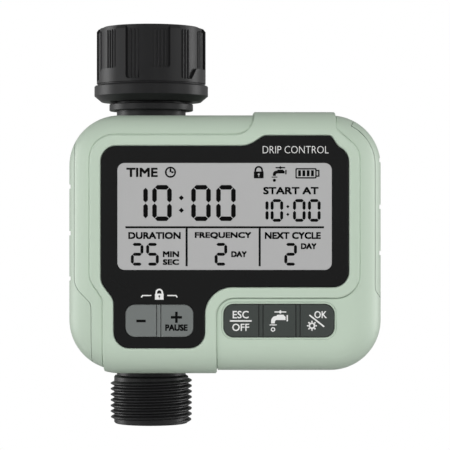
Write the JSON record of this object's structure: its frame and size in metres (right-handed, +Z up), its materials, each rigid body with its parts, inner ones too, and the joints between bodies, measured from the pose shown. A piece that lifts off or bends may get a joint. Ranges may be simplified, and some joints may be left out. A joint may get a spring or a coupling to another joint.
{
  "type": "drip irrigation timer",
  "caption": "Battery drip irrigation timer with display, keys and motor-driven ball valve; hangs from a tap by a swivel nut and feeds a hose from a threaded outlet.",
  "frame": {"origin": "on the pipe axis at the inlet washer's sealing face, where the end of a tap seats", "axes": "+Z up the pipe axis towards the tap, -Y towards the viewer of the display, +X to that viewer's right"},
  "size_m": [0.0988, 0.056, 0.1284],
  "materials": {
    "shell_green": "fine matt texture",
    "rear_green": "fine matt texture",
    "lens_black": "polished, printed black from behind, clear over the display",
    "lcd_glass": "grey reflective liquid-crystal panel behind glass",
    "lcd_frame": "white light guide",
    "zebra_rubber": "layered contact rubber",
    "board_green": "solder mask over glass fibre",
    "chip_black": "moulded package with tinned legs",
    "capacitor_can": "drawn aluminium can",
    "key_grey": "matt silicone",
    "key_dark": "matt silicone",
    "black_plastic": "satin moulded",
    "white_acetal": "waxy",
    "ivory_plastic": "satin moulded",
    "seal_rubber": "smooth",
    "seat_ptfe": "waxy",
    "brass": "turned",
    "stainless": "brushed",
    "zinc_steel": "zinc plated",
    "nickel_spring": "nickel plated",
    "motor_steel": "zinc plated",
    "battery_wrap": "plastic sleeve with bare ends",
    "wire_red": "vinyl insulation"
  },
  "bodies": {
    "housing": {"front_shell": "shell_green", "rear_shell": "rear_green", "case_gasket": "seal_rubber", "case_screws": "stainless", "display_lens": "lens_black", "lcd_panel": "lcd_glass", "lcd_light_frame": "lcd_frame", "lcd_contact_strip": "zebra_rubber", "circuit_board": "board_green", "board_screws": "zinc_steel", "controller_chip": "chip_black", "driver_chip": "chip_black", "storage_capacitors": "capacitor_can", "buzzer": "chip_black", "tact_switches": "chip_black", "keypad_grey": "key_grey", "keypad_dark": "key_dark", "inlet_tail": "black_plastic", "nut_collar": "black_plastic", "inlet_washer": "seal_rubber", "inlet_filter": "ivory_plastic", "inlet_oring": "seal_rubber", "tail_clip": "stainless", "outlet_fitting": "black_plastic", "outlet_oring": "seal_rubber", "outlet_screws": "stainless", "valve_body": "black_plastic", "valve_screws": "stainless", "upper_seat": "seat_ptfe", "lower_seat": "seat_ptfe", "stem_orings": "seal_rubber", "gearbox_base": "ivory_plastic", "gearbox_cover": "ivory_plastic", "gearbox_screws": "zinc_steel", "idler_axle": "stainless", "motor_can": "motor_steel", "motor_screws": "zinc_steel", "position_switch": "chip_black", "motor_leads": "wire_red", "battery_cells": "battery_wrap", "battery_springs": "nickel_spring", "battery_contacts": "nickel_spring", "battery_leads": "wire_red", "door_seal": "seal_rubber", "door_hinge_pin": "stainless"},
    "swivel_nut": {"swivel_nut": "black_plastic"},
    "minus_key": {"key_minus": "key_grey"},
    "plus_key": {"key_plus": "key_grey"},
    "escape_key": {"key_escape": "key_dark"},
    "manual_key": {"key_manual": "key_dark"},
    "confirm_key": {"key_confirm": "key_dark"},
    "ball_valve": {"valve_ball": "stainless", "valve_stem": "brass", "output_gear": "white_acetal"},
    "idler": {"idler_gear": "white_acetal"},
    "reduction": {"reduction_gear": "white_acetal"},
    "motor_rotor": {"motor_pinion": "brass", "motor_shaft": "stainless"},
    "battery_door": {"battery_door": "rear_green"}
  },
  "joints": [
    {"name": "nut_swivel", "type": "hinge", "parent": "housing", "child": "swivel_nut", "pos_m": [0, 0, 0], "axis": [0, 0, 1], "continuous": true},
    {"name": "minus_press", "type": "slide", "parent": "housing", "child": "minus_key", "axis": [0, 1, 0], "range_m": [0, 0.0008], "stiffness_N_per_m": 1500, "springref_m": -0.0006},
    {"name": "plus_press", "type": "slide", "parent": "housing", "child": "plus_key", "axis": [0, 1, 0], "range_m": [0, 0.0008], "stiffness_N_per_m": 1500, "springref_m": -0.0006},
    {"name": "escape_press", "type": "slide", "parent": "housing", "child": "escape_key", "axis": [0, 1, 0], "range_m": [0, 0.0008], "stiffness_N_per_m": 1500, "springref_m": -0.0006},
    {"name": "manual_press", "type": "slide", "parent": "housing", "child": "manual_key", "axis": [0, 1, 0], "range_m": [0, 0.0008], "stiffness_N_per_m": 1500, "springref_m": -0.0006},
    {"name": "confirm_press", "type": "slide", "parent": "housing", "child": "confirm_key", "axis": [0, 1, 0], "range_m": [0, 0.0008], "stiffness_N_per_m": 1500, "springref_m": -0.0006},
    {"name": "valve_turn", "type": "hinge", "parent": "housing", "child": "ball_valve", "pos_m": [0.0198, 0, -0.055], "axis": [1, 0, 0], "range_deg": [0, 90]},
    {"name": "idler_turn", "type": "hinge", "parent": "housing", "child": "idler", "pos_m": [0.0198, 0.0095, -0.06582], "axis": [1, 0, 0], "range_deg": [-270, 0]},
    {"name": "reduction_turn", "type": "hinge", "parent": "housing", "child": "reduction", "pos_m": [0.0235, 0, -0.055], "axis": [1, 0, 0], "range_deg": [0, 810]},
    {"name": "motor_turn", "type": "hinge", "parent": "housing", "child": "motor_rotor", "pos_m": [0.0267, -0.0098, -0.04445], "axis": [1, 0, 0], "range_deg": [-2430, 0]},
    {"name": "door_swing", "type": "hinge", "parent": "housing", "child": "battery_door", "pos_m": [0.0517, 0.0274, -0.0256], "axis": [1, 0, 0], "range_deg": [0, 95]}
  ],
  "couplings": [
    {"joint": "idler_turn", "follows": "valve_turn", "ratio": -3},
    {"joint": "reduction_turn", "follows": "valve_turn", "ratio": 9},
    {"joint": "motor_turn", "follows": "valve_turn", "ratio": -27}
  ]
}
